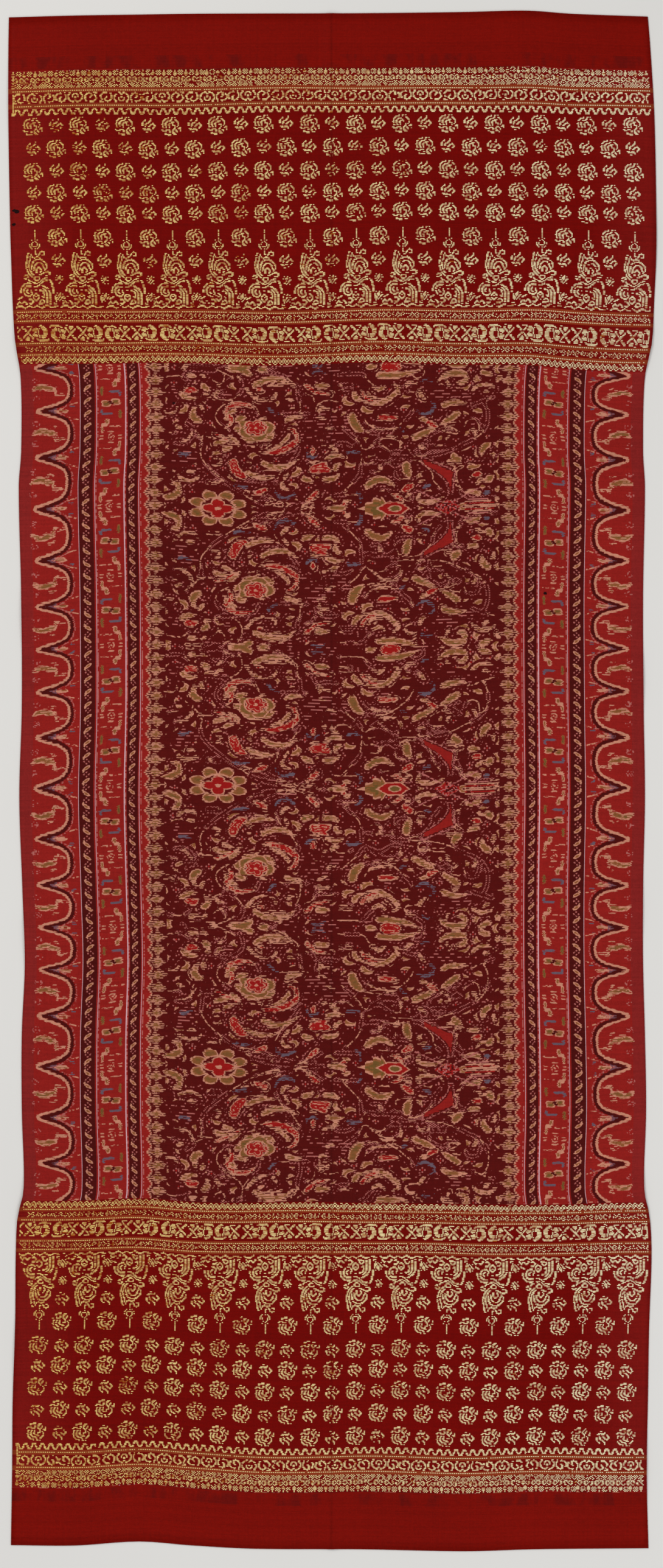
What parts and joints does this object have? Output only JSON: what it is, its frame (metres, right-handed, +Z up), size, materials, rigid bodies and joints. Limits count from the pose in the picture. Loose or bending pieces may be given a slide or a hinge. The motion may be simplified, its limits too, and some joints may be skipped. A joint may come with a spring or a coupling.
{
  "type": "ikat shoulder cloth",
  "caption": "Long flat woven silk shoulder cloth, ikat-dyed middle with borders and gold-brocaded ends, laid out face up.",
  "frame": {"origin": "centre of the cloth's outline, on the surface that it lies on", "axes": "+Y along the cloth's length, +X across its width, +Z up out of its face"},
  "size_m": [0.8758, 2.0801, 0.0044],
  "materials": {
    "woven_silk": "soft silk plain weave, weft ikat in cream, tan, olive and blue-grey on maroon and red",
    "gold_thread": "worn gold-wrapped supplementary weft, satin, floating over the silk"
  },
  "bodies": {
    "root": {"shoulder_cloth": "woven_silk"}
  },
  "joints": []
}
